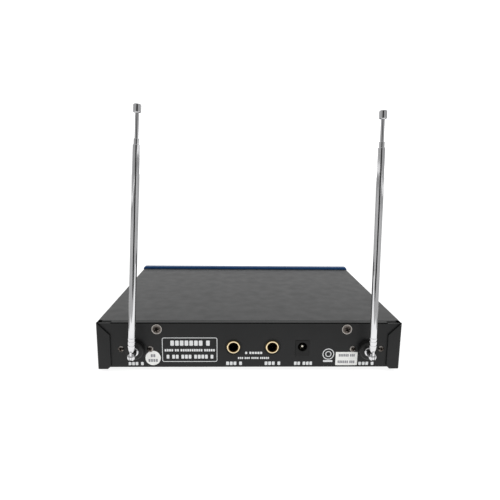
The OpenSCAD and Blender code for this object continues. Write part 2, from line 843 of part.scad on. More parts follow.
// Two white plug headers for the ribbon, one on each board
module board_headers() {
    color("#e6e4dc") {
        translate([-30 - header[0] / 2, ribbon_y - header[1] / 2, board_z]) cube(header);
        translate([-30 - header[0] / 2, front_header_y, ribbon_z - header[1] / 2])
            cube([header[0], header[2], header[1]]);
    }
}

module ribbon_cable() {
    ribbon_t = 0.9;
    bend = 3;
    rise = ribbon_z - board_z - header[2] - bend;
    run = ribbon_y - bend - front_header_y - header[2];
    color("#b9bcc2") translate([-30, 0, 0]) bar_yz(14) {
        translate([ribbon_y - ribbon_t / 2, board_z + header[2]]) square([ribbon_t, rise + eps]);
        translate([ribbon_y - bend, ribbon_z - bend])
            quarter_ring(bend + ribbon_t / 2, bend - ribbon_t / 2);
        translate([front_header_y + header[2], ribbon_z - ribbon_t / 2]) square([run + eps, ribbon_t]);
    }
}

// ---- Front controls ----

module front_board_panel() {
    color("#1f6b3a")
        translate([-front_board[0] / 2, front_board_y, front_z - front_board[2] / 2]) cube(front_board);
}

module pot_bodies() {
    color("#8f9396")
        for (x = [knob_a_x, knob_b_x]) translate([x, front_board_y, front_z]) difference() {
            union() {
                translate([-pot_body[0] / 2, -pot_body[1], -pot_body[2] / 2]) cube(pot_body);
                to_front() cylinder(r = pot_bush_r, h = front_board_y - front_y + 3.5);
                translate([0, -pot_body[1] - 1.9, 0]) to_front() cylinder(r = 5.2, h = 2, $fn = 6);
            }
            translate([0, -1, 0]) to_front() cylinder(r = shaft_r + run_gap, h = 20);
        }
}

module shaft_outline() {
    difference() {
        circle(shaft_r);
        translate([-shaft_r, shaft_r - shaft_flat]) square([2 * shaft_r, 2]);
    }
}

module pot_shaft(x) {
    round_len = 10;
    total_len = front_board_y - 2 - (front_y - bezel_t - knob_gap - knob_h + 3);
    color("#c3c5c7") translate([x, front_board_y - 2, front_z]) to_front() {
        cylinder(r = shaft_r, h = round_len);
        linear_extrude(total_len) shaft_outline();
    }
}

module volume_knob(x) {
    flutes = 28;
    chamfer = 1.2;
    grip_h = knob_h - chamfer;
    color("#1d1e21") translate([x, front_y - bezel_t - knob_gap, front_z]) to_front() difference() {
        union() {
            cylinder(r = knob_r, h = grip_h);
            translate([0, 0, grip_h - eps]) cylinder(r1 = knob_r, r2 = knob_r - chamfer, h = chamfer + eps);
        }
        for (i = [0 : flutes - 1])
            rotate([0, 0, (i + 0.5) * 360 / flutes])
                translate([knob_r + 0.25, 0, 1]) cylinder(r = 0.65, h = knob_h, $fn = 24);
        translate([-0.5, 2.5, knob_h - 0.5]) cube([1, knob_r, 1]);
        translate([0, 0, -1]) linear_extrude(knob_h - 2) shaft_outline();
    }
}

module power_switch() {
    color("#2b2d31") translate([button_x, front_board_y, front_z]) difference() {
        translate([-4, -6.2, -4]) cube([8, 6.2, 8]);
        translate([0, -1.4, 0]) to_front() cylinder(r = stem_r + button_gap, h = 10);
    }
}

module power_button() {
    face_y = front_y - bezel_t - button_out;
    flange_y = front_y - bezel_t + bezel_wall + 0.1;
    stem_end_y = front_board_y - 4.4;
    color("#e8e9ea") translate([button_x, 0, front_z]) {
        translate([0, flange_y, 0]) to_front() cylinder(r = button_r, h = flange_y - face_y - 0.5);
        translate([0, face_y + 0.5, 0]) to_front() cylinder(r1 = button_r, r2 = button_r - 0.5, h = 0.5);
        translate([0, flange_y + 0.8, 0]) to_front() cylinder(r = button_flange_r, h = 0.8);
        translate([0, stem_end_y, 0]) to_front() cylinder(r = stem_r, h = stem_end_y - flange_y);
    }
}

module status_lamps() {
    tip_y = front_y - bezel_t - 0.7;
    body_len = 5.2;
    color("#d23b2e")
        for (x = lamp_xs) translate([x, 0, front_z]) {
            translate([0, tip_y + body_len, 0]) to_front() cylinder(r = lamp_r, h = body_len - lamp_r);
            translate([0, tip_y + lamp_r, 0]) sphere(lamp_r);
            for (s = [-1, 1])
                translate([s * 0.9, front_board_y, 0])
                    to_front() cylinder(r = 0.3, h = front_board_y - tip_y - body_len + 0.2);
        }
}

// ---- Named pieces of each channel ----

module antenna_boss_a() antenna_boss(antenna_a_x);
module antenna_boss_b() antenna_boss(antenna_b_x);
module swivel_fork_a() swivel_fork(antenna_a_x, lean_a);
module swivel_fork_b() swivel_fork(antenna_b_x, lean_b);
module elbow_pin_a() elbow_pin(antenna_a_x, lean_a);
module elbow_pin_b() elbow_pin(antenna_b_x, lean_b);
module antenna_lug_a() antenna_lug(antenna_a_x);
module antenna_lug_b() antenna_lug(antenna_b_x);
module antenna_lead_a() antenna_lead(antenna_a_x);
module antenna_lead_b() antenna_lead(antenna_b_x);
module lower_tube_a() lower_tube(antenna_a_x, lean_a);
module lower_tube_b() lower_tube(antenna_b_x, lean_b);
module middle_tube_a() middle_tube(antenna_a_x, lean_a);
module middle_tube_b() middle_tube(antenna_b_x, lean_b);
module tip_rod_a() tip_rod(antenna_a_x, lean_a, tip_out_a);
module tip_rod_b() tip_rod(antenna_b_x, lean_b, tip_out_b);
module tip_cap_a() tip_cap(antenna_a_x, lean_a, tip_out_a);
module tip_cap_b() tip_cap(antenna_b_x, lean_b, tip_out_b);
module jack_body_a() jack_body_at(socket_a_x);
module jack_body_b() jack_body_at(socket_b_x);
module jack_bush_a() jack_bush_at(socket_a_x);
module jack_bush_b() jack_bush_at(socket_b_x);
module jack_contacts_a() jack_contacts_at(socket_a_x);
module jack_contacts_b() jack_contacts_at(socket_b_x);
module rf_shield_a() rf_shield(-1);
module rf_shield_b() rf_shield(1);
module pot_shaft_a() pot_shaft(knob_a_x);
module pot_shaft_b() pot_shaft(knob_b_x);
module volume_knob_a() volume_knob(knob_a_x);
module volume_knob_b() volume_knob(knob_b_x);

top_cover();
chassis_base();
front_bezel();
display_window();
rubber_feet();
cover_screws();
side_screws();
bezel_screws();
antenna_screws();
antenna_boss_a();
antenna_boss_b();
swivel_fork_a();
swivel_fork_b();
elbow_pin_a();
elbow_pin_b();
antenna_lug_a();
antenna_lug_b();
antenna_lead_a();
antenna_lead_b();
lower_tube_a();
lower_tube_b();
middle_tube_a();
middle_tube_b();
tip_rod_a();
tip_rod_b();
tip_cap_a();
tip_cap_b();
jack_body_a();
jack_body_b();
jack_bush_a();
jack_bush_b();
jack_contacts_a();
jack_contacts_b();
dc_jack_body();
dc_jack_pin();
dc_jack_spring();
main_board();
board_standoffs();
board_screws();
rf_shield_a();
rf_shield_b();
capacitors();
integrated_circuits();
voltage_regulator();
heat_sink();
tuned_coils();
crystals();
board_headers();
ribbon_cable();
front_board_panel();
pot_bodies();
pot_shaft_a();
pot_shaft_b();
volume_knob_a();
volume_knob_b();
power_switch();
power_button();
status_lamps();
spec_label();
round_sticker();
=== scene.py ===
import json
import math

import bmesh
import bpy
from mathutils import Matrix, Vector


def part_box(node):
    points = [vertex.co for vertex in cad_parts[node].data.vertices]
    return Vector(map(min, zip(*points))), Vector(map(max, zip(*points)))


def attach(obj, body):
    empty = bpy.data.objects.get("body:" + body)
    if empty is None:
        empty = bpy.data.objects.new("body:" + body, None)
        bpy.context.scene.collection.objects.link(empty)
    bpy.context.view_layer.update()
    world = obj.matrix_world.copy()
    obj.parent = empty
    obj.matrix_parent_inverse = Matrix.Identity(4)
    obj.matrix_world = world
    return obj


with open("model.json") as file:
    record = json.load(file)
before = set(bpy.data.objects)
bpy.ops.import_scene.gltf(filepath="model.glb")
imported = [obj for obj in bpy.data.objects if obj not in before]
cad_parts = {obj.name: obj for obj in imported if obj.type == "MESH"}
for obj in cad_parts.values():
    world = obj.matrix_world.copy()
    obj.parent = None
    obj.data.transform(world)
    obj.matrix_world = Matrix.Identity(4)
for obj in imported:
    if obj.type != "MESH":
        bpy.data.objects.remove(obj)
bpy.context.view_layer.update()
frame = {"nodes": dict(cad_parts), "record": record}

# Two-channel wireless microphone receiver: the looks, the light and the camera round the packed
# CAD model. All lengths are in metres. The front faces -Y, the rear panel faces +Y, and the feet
# stand on Z = 0.

MM = 0.001
NODES = frame["nodes"]

# ---- Places that follow from the CAD model ----

COVER_LOW, COVER_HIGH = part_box("top_cover")
BEZEL_LOW, BEZEL_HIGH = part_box("front_bezel")
PANEL_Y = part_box("round_sticker")[0].y
BASE_Z = COVER_LOW.z


def middle(node):
    """The middle of a CAD node's box."""
    low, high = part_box(node)
    return (low + high) / 2


def put(name, data):
    """A new object in the scene, from a mesh, a light or a camera."""
    obj = bpy.data.objects.new(name, data)
    bpy.context.scene.collection.objects.link(obj)
    return obj


# ---- Camera ----

CAMERA_SIDE = 9.94 * MM
CAMERA_BACK = 278.26 * MM
CAMERA_UP = 136.43 * MM
CAMERA_TURN = (79.064, -0.712, 178.302)
LENS = 31.55
SENSOR_WIDTH = 36.0
NEAREST_SEEN = 0.01


def add_camera():
    """The camera, behind the receiver and above it, looking slightly down."""
    data = bpy.data.cameras.new("camera")
    data.lens = LENS
    data.sensor_width = SENSOR_WIDTH
    data.clip_start = NEAREST_SEEN
    camera = put("camera", data)
    camera.location = (CAMERA_SIDE, COVER_HIGH.y + CAMERA_BACK, BASE_Z + CAMERA_UP)
    camera.rotation_euler = [math.radians(a) for a in CAMERA_TURN]
    bpy.context.scene.camera = camera


# ---- Materials ----

# How far a ring of colour on a screw or a bush fades out
RING_BLUR = 0.15 * MM


class Finish:
    """A procedural material, placed by the coordinates of the frame at rest."""

    def __init__(self, name, colour, rough, metal=0.0):
        self.material = bpy.data.materials.new(name)
        self.material.use_nodes = True
        self.tree = self.material.node_tree
        self.shader = self.tree.nodes["Principled BSDF"]
        self.shader.inputs["Base Color"].default_value = (*colour, 1.0)
        self.shader.inputs["Roughness"].default_value = rough
        self.shader.inputs["Metallic"].default_value = metal
        self.colour = colour
        self.rough = rough
        self.place = self.add("ShaderNodeTexCoord").outputs["Object"]

    def add(self, kind, **settings):
        """A new shader node with these settings."""
        node = self.tree.nodes.new(kind)
        for key, value in settings.items():
            setattr(node, key, value)
        return node

    def link(self, a, b):
        """Joins an output to an input."""
        self.tree.links.new(a, b)

    def stretch(self, scale):
        """The place, stretched by a scale along each axis."""
        mapping = self.add("ShaderNodeMapping")
        mapping.inputs["Scale"].default_value = scale
        self.link(self.place, mapping.inputs["Vector"])
        return mapping.outputs["Vector"]

    def noise(self, size, detail=3.0, scale=None):
        """Noise whose features are about this size, in metres."""
        node = self.add("ShaderNodeTexNoise")
        node.inputs["Scale"].default_value = 1.0 / size
        node.inputs["Detail"].default_value = detail
        self.link(self.stretch(scale) if scale else self.place, node.inputs["Vector"])
        return node.outputs["Fac"]

    def spread(self, value, low, high, start=0.3, end=0.7):
        """A value from 0 to 1, mapped to lie between low and high."""
        node = self.add("ShaderNodeMapRange")
        node.inputs["From Min"].default_value = start
        node.inputs["From Max"].default_value = end
        node.inputs["To Min"].default_value = low
        node.inputs["To Max"].default_value = high
        self.link(value, node.inputs["Value"])
        return node.outputs["Result"]

    def blotch(self, size, other):
        """Varies the colour towards another one in soft patches."""
        mix = self.add("ShaderNodeMix", data_type="RGBA")
        mix.inputs["A"].default_value = (*self.colour, 1.0)
        mix.inputs["B"].default_value = (*other, 1.0)
        self.link(self.spread(self.noise(size), 0.0, 1.0), mix.inputs["Factor"])
        self.link(mix.outputs["Result"], self.shader.inputs["Base Color"])
        return self

    def axis(self, name, low, high):
        """A mask that is 1 where the place lies between low and high along one axis."""
        places = self.add("ShaderNodeSeparateXYZ")
        self.link(self.place, places.inputs["Vector"])
        node = self.add("ShaderNodeMath", operation="COMPARE")
        self.link(places.outputs[name], node.inputs[0])
        node.inputs[1].default_value = (low + high) / 2
        node.inputs[2].default_value = (high - low) / 2
        return node.outputs["Value"]

    def both(self, a, b):
        """A mask that is 1 where two masks are."""
        node = self.add("ShaderNodeMath", operation="MULTIPLY")
        self.link(a, node.inputs[0])
        self.link(b, node.inputs[1])
        return node.outputs["Value"]

    def near(self, centres, radius):
        """A mask that is 1 within a radius of the nearest of these points."""
        best = None
        for centre in centres:
            gap = self.add("ShaderNodeVectorMath", operation="DISTANCE")
            self.link(self.place, gap.inputs[0])
            gap.inputs[1].default_value = centre
            if best is None:
                best = gap.outputs["Value"]
            else:
                least = self.add("ShaderNodeMath", operation="MINIMUM")
                self.link(best, least.inputs[0])
                self.link(gap.outputs["Value"], least.inputs[1])
                best = least.outputs["Value"]
        return self.spread(best, 1.0, 0.0, radius - RING_BLUR, radius + RING_BLUR)

    def tint(self, mask, other):
        """Turns the colour to another one where the mask is 1."""
        mix = self.add("ShaderNodeMix", data_type="RGBA")
        socket = self.shader.inputs["Base Color"]
        self.link(socket.links[0].from_socket, mix.inputs["A"])
        mix.inputs["B"].default_value = (*other, 1.0)
        self.link(mask, mix.inputs["Factor"])
        self.link(mix.outputs["Result"], socket)
        return self

    def uneven(self, size, amount, scale=None):
        """Varies the roughness by plus or minus amount."""
        value = self.noise(size, 2.0, scale)
        varied = self.spread(value, self.rough - amount, self.rough + amount)
        self.link(varied, self.shader.inputs["Roughness"])
        return self

    def grain(self, size, depth, strength, scale=None):
        """Adds a fine raised grain of this size and depth, in metres."""
        bump = self.add("ShaderNodeBump")
        bump.inputs["Strength"].default_value = strength
        bump.inputs["Distance"].default_value = depth
        self.link(self.noise(size, 4.0, scale), bump.inputs["Height"])
        self.link(bump.outputs["Normal"], self.shader.inputs["Normal"])
        return self

    def dull(self, level):
        """Sets the strength of the shine on a surface that isn't metal."""
        self.shader.inputs["Specular IOR Level"].default_value = level
        return self

    def coat(self, amount, rough):
        """Adds a clear coat."""
        self.shader.inputs["Coat Weight"].default_value = amount
        self.shader.inputs["Coat Roughness"].default_value = rough
        return self

    def glow(self, strength):
        """Makes the surface give off white light."""
        self.shader.inputs["Emission Color"].default_value = (1.0, 1.0, 1.0, 1.0)
        self.shader.inputs["Emission Strength"].default_value = strength
        return self


STEEL_SHINE = 0.30
FLANGE_W = 9.5 * MM

# Two strips along the cover's top rear edge, between its flanges, both painted light. Each has its
# span of Y from the rear panel's face, its span down from the top of the cover, and its colour.
# A painted highlight along the bend of the cover's rear lip
BEND_HIGHLIGHT = ((-3.2 * MM, -1.7 * MM), (0.15 * MM, 1.3 * MM), (0.075, 0.076, 0.076))
# Painted shade, near black, in the gap above the rear panel
GAP_SHADE = ((-1.1 * MM, 0.1 * MM), (0.4 * MM, 0.95 * MM), (0.0004, 0.0004, 0.0004))


def powder_coat():
    """Satin black paint on sheet steel, with painted shade in the gap above the panel and a painted
    highlight along the bend.
    """
    made = Finish("powder_coat", (0.0085, 0.0088, 0.0090), 0.42)
    made.blotch(45 * MM, (0.0105, 0.0108, 0.0110))
    between = made.axis("X", COVER_LOW.x + FLANGE_W, COVER_HIGH.x - FLANGE_W)
    for (front, rear), (top, bottom), colour in (BEND_HIGHLIGHT, GAP_SHADE):
        across = made.axis("Y", PANEL_Y + front, PANEL_Y + rear)
        down = made.axis("Z", COVER_HIGH.z - bottom, COVER_HIGH.z - top)
        strip = made.both(between, made.both(across, down))
        made.tint(strip, colour)
    # The gap's painted shade is the last strip, and the shine is taken out there too, as part of
    # the painted shade
    shine = made.spread(strip, STEEL_SHINE, 0.0, 0.0, 1.0)
    made.link(shine, made.shader.inputs["Specular IOR Level"])
    return made.uneven(9 * MM, 0.03).grain(0.45 * MM, 0.02 * MM, 0.30)


def blue_gloss():
    """Glossy blue moulded plastic with the faint waviness of a moulding."""
    return (
        Finish("blue_gloss", (0.015, 0.056, 0.150), 0.32)
        .dull(0.12)
        .blotch(25 * MM, (0.018, 0.066, 0.175))
        .uneven(8 * MM, 0.04)
        .grain(9 * MM, 0.05 * MM, 0.10)
    )


def smoke_gloss():
    """The dark display window."""
    return (
        Finish("smoke_gloss", (0.006, 0.007, 0.009), 0.10)
        .blotch(10 * MM, (0.010, 0.011, 0.014))
        .uneven(5 * MM, 0.03)
        .coat(0.5, 0.03)
    )


def foot_rubber():
    """Matt black rubber."""
    return (
        Finish("foot_rubber", (0.018, 0.018, 0.019), 0.78)
        .blotch(3 * MM, (0.032, 0.031, 0.030))
        .uneven(2 * MM, 0.08)
        .grain(0.4 * MM, 0.06 * MM, 0.6)
    )


# The radius of a cover screw's washer, and how far a boss's screws stand from its middle
WASHER_R = 3.35 * MM
BOSS_SCREW_X = 9.8 * MM
# How far inside the screws' rear ends the painted highlights and dark reflections are centred,
# and how much deeper the recess is, where its painted shade is centred
COVER_SCREW_FACE = 1.3 * MM
SMALL_SCREW_FACE = 0.9 * MM
RECESS_DEPTH = 1.0 * MM

# Painted light on the screw heads, as rings from the rim inwards: each radius, and the colour
# inside it
# Cover screws: inside a bright rim, a painted dark reflection, a painted highlight ring, then a
# painted dark reflection
COVER_SCREW_SHEEN_RINGS = (
    (3.10 * MM, (0.085, 0.072, 0.064)),
    (2.65 * MM, (0.40, 0.36, 0.33)),
    (2.20 * MM, (0.11, 0.093, 0.083)),
)
# Small screws: a painted dark reflection inside a bright rim
SMALL_SCREW_SHEEN_RING = (1.65 * MM, (0.16, 0.135, 0.12))
# Painted shade, near black, in each screw's cross recess
RECESS_SHADE_RING = (1.8 * MM, (0.006, 0.005, 0.004))


def nickel_plate():
    """Plated screws with painted light: painted dark reflections and painted highlight rings, and
    painted shade in the cross recess.
    """
    made = Finish("nickel_plate", (0.62, 0.59, 0.56), 0.22, 1.0)
    made.blotch(1.5 * MM, (0.50, 0.47, 0.44))
    low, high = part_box("cover_screws")
    covers = [
        (x, high.y - COVER_SCREW_FACE, (low.z + high.z) / 2)
        for x in (low.x + WASHER_R, high.x - WASHER_R)
    ]
    low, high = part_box("antenna_screws")
    smalls = [
        (middle(boss).x + side * BOSS_SCREW_X, high.y - SMALL_SCREW_FACE, (low.z + high.z) / 2)
        for boss in ("antenna_boss_a", "antenna_boss_b") for side in (-1, 1)
    ]
    recesses = [(x, y - RECESS_DEPTH, z) for x, y, z in covers + smalls]
    rings = [(covers, *ring) for ring in COVER_SCREW_SHEEN_RINGS]
    rings += [(smalls, *SMALL_SCREW_SHEEN_RING), (recesses, *RECESS_SHADE_RING)]
    for centres, radius, colour in rings:
        made.tint(made.near(centres, radius), colour)
    return made.uneven(0.8 * MM, 0.07).grain(0.25 * MM, 0.01 * MM, 0.25)


def black_oxide():
    """Blackened steel screws."""
    return (
        Finish("black_oxide", (0.030, 0.030, 0.032), 0.34, 0.4)
        .blotch(1.2 * MM, (0.05, 0.05, 0.052))
        .uneven(0.8 * MM, 0.08)
    )


def satin_plastic(name, colour, rough):
    """Moulded plastic with a fine spark-eroded texture."""
    lighter = tuple(1.35 * c + 0.004 for c in colour)
    return (
        Finish(name, colour, rough)
        .blotch(4 * MM, lighter)
        .uneven(2 * MM, 0.06)
        .grain(0.22 * MM, 0.02 * MM, 0.4)
    )


def chrome_plate():
    """Bright chrome with the faint draw lines that run along a telescopic tube."""
    return (
        Finish("chrome_plate", (0.74, 0.74, 0.75), 0.07, 1.0)
        .blotch(14 * MM, (0.68, 0.68, 0.69))
        .uneven(1.2 * MM, 0.035, (1.0, 1.0, 0.04))
        .grain(0.5 * MM, 0.004 * MM, 0.3, (1.0, 1.0, 0.03))
    )


# The flat of a bush's ring, with a painted highlight, and then its inner edge, with painted shade,
# each as a radius and the colour inside it
BUSH_SHEEN_RINGS = (
    (4.25 * MM, (0.98, 0.84, 0.55)),
    (3.65 * MM, (0.30, 0.18, 0.07)),
)


def gold_plate():
    """Gold plate on the socket bushes, with a painted highlight on the flat of the ring and painted
    brown shade at its edges.
    """
    made = Finish("gold_plate", (0.50, 0.33, 0.13), 0.16, 1.0)
    made.blotch(1.6 * MM, (0.42, 0.27, 0.10))
    mouths = [
        (middle(bush).x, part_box(bush)[1].y, middle(bush).z)
        for bush in ("jack_bush_a", "jack_bush_b")
    ]
    for radius, colour in BUSH_SHEEN_RINGS:
        made.tint(made.near(mouths, radius), colour)
    return made.uneven(0.7 * MM, 0.07)


def bare_metal(name, colour, rough, other):
    """Metal with soft patches of another colour."""
    return (
        Finish(name, colour, rough, 1.0)
        .blotch(3 * MM, other)
        .uneven(1.0 * MM, 0.08)
        .grain(0.3 * MM, 0.01 * MM, 0.3)
    )


def solder_mask():
    """Green board lacquer with fine raised tracks under it."""
    lacquer = (0.006, 0.085, 0.035)
    made = Finish("solder_mask", lacquer, 0.30)
    tracks = made.add("ShaderNodeTexBrick")
    tracks.inputs["Scale"].default_value = 120.0
    tracks.inputs["Mortar Size"].default_value = 0.03
    # The bricks are the lacquer, and the mortar between them is the tracks
    shades = {"Color1": lacquer, "Color2": (0.008, 0.100, 0.040), "Mortar": (0.020, 0.190, 0.070)}
    for name, colour in shades.items():
        tracks.inputs[name].default_value = (*colour, 1.0)
    made.link(made.place, tracks.inputs["Vector"])
    made.link(tracks.outputs["Color"], made.shader.inputs["Base Color"])
    return made.uneven(3 * MM, 0.06).coat(0.3, 0.1)


def lamp_lens():
    """Diffused lamp lenses: red, then green and amber, told apart by their places along X."""
    red, green, amber = (0.55, 0.03, 0.02), (0.05, 0.36, 0.05), (0.60, 0.30, 0.02)
    lamps = (red, green, amber, green, amber)
    made = Finish("lamp_lens", red, 0.28)
    places = made.add("ShaderNodeSeparateXYZ")
    made.link(made.place, places.inputs["Vector"])
    ramp = made.add("ShaderNodeValToRGB")
    ramp.color_ramp.interpolation = "CONSTANT"
    steps = ramp.color_ramp.elements
    for i, colour in enumerate(lamps):
        # A new ramp has two steps already
        step = steps[i] if i < 2 else steps.new(i / len(lamps))
        step.position = i / len(lamps)
        step.color = (*colour, 1.0)
    low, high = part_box("status_lamps")
    lamp_w = high.z - low.z
    pitch = (high.x - low.x - lamp_w) / (len(lamps) - 1)
    start = low.x + lamp_w / 2 - pitch / 2
    along = made.spread(places.outputs["X"], 0.0, 1.0, start, start + len(lamps) * pitch)
    made.link(along, ramp.inputs["Fac"])
    made.link(ramp.outputs["Color"], made.shader.inputs["Base Color"])
    return made.uneven(0.6 * MM, 0.06).coat(0.5, 0.05)


def paper():
    """The stickers' white paper."""
    return (
        Finish("paper", (0.90, 0.90, 0.88), 0.62)
        .blotch(2 * MM, (0.84, 0.84, 0.82))
        .uneven(1.5 * MM, 0.06)
        .grain(0.2 * MM, 0.01 * MM, 0.4)
    )


def printed_white():
    """Screen-printed ink, a little thin in places."""
    return (
        Finish("printed_white", (0.80, 0.81, 0.81), 0.45)
        .blotch(0.7 * MM, (0.66, 0.67, 0.68))
        .uneven(0.5 * MM, 0.08)
    )


def printed_grey():
    """Faint grey print on the stickers."""
    return (
        Finish("printed_grey", (0.20, 0.20, 0.22), 0.55)
        .blotch(0.5 * MM, (0.30, 0.30, 0.32))
        .uneven(0.5 * MM, 0.06)
    )


def light_plastic():
    """The power button's pale plastic."""
    return (
        Finish("light_plastic", (0.62, 0.63, 0.64), 0.26)
        .blotch(3 * MM, (0.70, 0.71, 0.72))
        .uneven(1.5 * MM, 0.05)
        .coat(0.4, 0.08)
    )


def slot_finishes():
    """One material for each of the record's slots."""
    return {
        "black_steel": powder_coat(),
        "blue_gloss": blue_gloss(),
        "smoke_window": smoke_gloss(),
        "foot_rubber": foot_rubber(),
        "nickel_screw": nickel_plate(),
        "black_screw": black_oxide(),
        "boss_plastic": satin_plastic("boss_plastic", (0.007, 0.007, 0.007), 0.40).dull(0.30),
        "chrome_plate": chrome_plate(),
        "contact_metal": bare_metal("contact_metal", (0.74, 0.71, 0.62), 0.22, (0.58, 0.55, 0.47)),
        "lead_sheath": satin_plastic("lead_sheath", (0.012, 0.012, 0.013), 0.55),
        "socket_plastic": satin_plastic("socket_plastic", (0.004, 0.004, 0.004), 0.34).dull(0.25),
        "gold_bush": gold_plate(),
        "board_green": solder_mask(),
        "brass_standoff": bare_metal(
            "brass_standoff", (0.74, 0.55, 0.27), 0.25, (0.62, 0.45, 0.20)),
        "tin_shield": bare_metal("tin_shield", (0.68, 0.69, 0.70), 0.32, (0.56, 0.57, 0.58)),
        "capacitor_sleeve": satin_plastic("capacitor_sleeve", (0.012, 0.022, 0.080), 0.30),
        "chip_resin": satin_plastic("chip_resin", (0.014, 0.014, 0.015), 0.58),
        "sink_aluminium": bare_metal(
            "sink_aluminium", (0.70, 0.71, 0.72), 0.35, (0.60, 0.61, 0.62)),
        "header_nylon": satin_plastic("header_nylon", (0.55, 0.53, 0.46), 0.45),
        "ribbon_grey": satin_plastic("ribbon_grey", (0.30, 0.31, 0.33), 0.50),
        "shaft_steel": bare_metal("shaft_steel", (0.66, 0.67, 0.68), 0.26, (0.56, 0.57, 0.58)),
        "knob_plastic": satin_plastic("knob_plastic", (0.012, 0.012, 0.013), 0.44),
        "button_plastic": light_plastic(),
        "lamp_lens": lamp_lens(),
        "label_paper": paper(),
    }


SHARP_ANGLE = math.radians(32)


def paint_cad_nodes():
    """Gives each CAD node its slot's finish, with smooth curves and sharp edges."""
    finishes = slot_finishes()
    slots = {s["node"]: s["material_slot"] for s in frame["record"]["subparts"]}
    for name, obj in NODES.items():
        obj.data.materials.clear()
        obj.data.materials.append(finishes[slots[name]].material)
        obj.data.shade_smooth()
        obj.data.set_sharp_from_angle(angle=SHARP_ANGLE)


# ---- Flat printed marks ----

PRINT_LIFT = 0.01 * MM
PRINT_THICK = 0.06 * MM
# The radius of a block's corners, as a part of its shorter side
BLOCK_ROUND = 0.22
# Kept between two round corners, so that their points never meet
LEAST_FLAT = 1e-6


def round_outline(x, z, w, h, r, arc=5):
    """Points round a rectangle about x, z, with arc steps in each of its round corners."""
    r = min(r, w / 2 - LEAST_FLAT, h / 2 - LEAST_FLAT)
    points = []
    for i, (sx, sz) in enumerate(((1, 1), (-1, 1), (-1, -1), (1, -1))):
        corner_x, corner_z = x + sx * (w / 2 - r), z + sz * (h / 2 - r)
        for k in range(arc + 1):
            a = math.radians(90 * i + 90 * k / arc)
            points.append((corner_x + r * math.cos(a), corner_z + r * math.sin(a)))
    return points


class Print:
    """Thin marks on a face that lies across Y, each of them closed, gathered into one mesh."""

    def __init__(self, face_y, out, thick=PRINT_THICK):
        """Out is 1 for a face that looks to the rear, and -1 for one that looks to the front."""
        self.bm = bmesh.new()
        self.back = face_y + out * PRINT_LIFT
        self.front = self.back + out * thick

    def loop(self, points, y):
        """New points at this Y, from their x and z."""
        return [self.bm.verts.new((x, y, z)) for x, z in points]

    def wall(self, a, b):
        """Faces between two loops of points."""
        for i in range(len(a)):
            j = (i + 1) % len(a)
            self.bm.faces.new((a[i], a[j], b[j], b[i]))

    def fill(self, points):
        """A solid mark inside an outline."""
        back, front = self.loop(points, self.back), self.loop(points, self.front)
        self.bm.faces.new(back)
        self.bm.faces.new(front)
        self.wall(back, front)

    def band(self, outer, inner):
        """A mark between two outlines that have as many points each."""
        loops = [self.loop(p, y) for y in (self.back, self.front) for p in (outer, inner)]
        self.wall(loops[0], loops[1])
        self.wall(loops[2], loops[3])
        self.wall(loops[0], loops[2])
        self.wall(loops[1], loops[3])

    def ring(self, x, z, outer, inner, arc):
        """A round mark between two diameters."""
        loops = [round_outline(x, z, across, across, across / 2, arc) for across in (outer, inner)]
        self.band(*loops)

    def border(self, x, z, w, h, r, line):
        """A line of this width just inside a rectangle with round corners."""
        inner = round_outline(x, z, w - 2 * line, h - 2 * line, r - line)
        self.band(round_outline(x, z, w, h, r), inner)

    def bar(self, x, z, w, h):
        """A solid block about x, z."""
        self.fill(round_outline(x, z, w, h, BLOCK_ROUND * min(w, h)))

    def blocks(self, left, right, low, high, words):
        """A row of blocks, in groups, that fills the span from left to right seen from the rear."""
        gap, space = 0.30, 1.00
        units = sum(words) + gap * (sum(words) - len(words)) + space * (len(words) - 1)
        unit = (left - right) / units
        at = left
        for count in words:
            for _ in range(count):
                self.bar(at - unit / 2, (low + high) / 2, unit, high - low)
                at -= (1 + gap) * unit
            at -= (space - gap) * unit

    def done(self, name, finish, body):
        """Makes the marks one object, on a body and in a slot."""
        bmesh.ops.recalc_face_normals(self.bm, faces=self.bm.faces)
        mesh = bpy.data.meshes.new(name)
        self.bm.to_mesh(mesh)
        self.bm.free()
        mesh.materials.append(finish.material)
        obj = put(name, mesh)
        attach(obj, body)


# Rows of blocks, in millimetres: the left and right ends seen from the rear, the lower and upper
# edges, and the number of blocks in each group. Those on the panel are measured from the middle of
# the case and from the cover's lower edge, and those on a sticker from its middle.
PANEL_ROWS = (
    (53.9, 27.4, 16.3, 20.0, (7, 1)),
    (57.8, 24.0, 12.2, 13.9, (4, 2, 10, 5)),
    (56.6, 25.0, 7.0, 9.8, (1, 2, 3, 4, 1)),
    (82.3, 72.2, 2.3, 4.6, (3, 1)),
    (16.3, 5.5, 2.3, 4.8, (3, 1)),
    (-10.0, -20.7, 2.3, 4.8, (3, 1)),
    (-30.2, -42.6, 2.3, 4.7, (2, 3)),
    (-74.7, -85.2, 2.2, 4.5, (3, 1)),
    (3.4, -8.2, 10.3, 11.9, (1, 5)),
    (8.3, -12.9, 6.7, 8.1, (3, 3, 4, 5)),
)
STICKER_ROWS = {
    "spec_label": ((5.4, -5.6, 1.5, 3.4, (6, 3)), (6.0, -5.6, -3.3, -1.4, (6, 3))),
    "round_sticker": ((1.5, -1.5, 0.6, 2.8, (2,)), (3.1, -3.1, -2.8, -0.7, (4,))),
}


def add_rows(marks, rows, x, z):
    """Prints rows of blocks, measured from x, z."""
    for left, right, low, high, words in rows:
        marks.blocks(x + left * MM, x + right * MM, z + low * MM, z + high * MM, words)


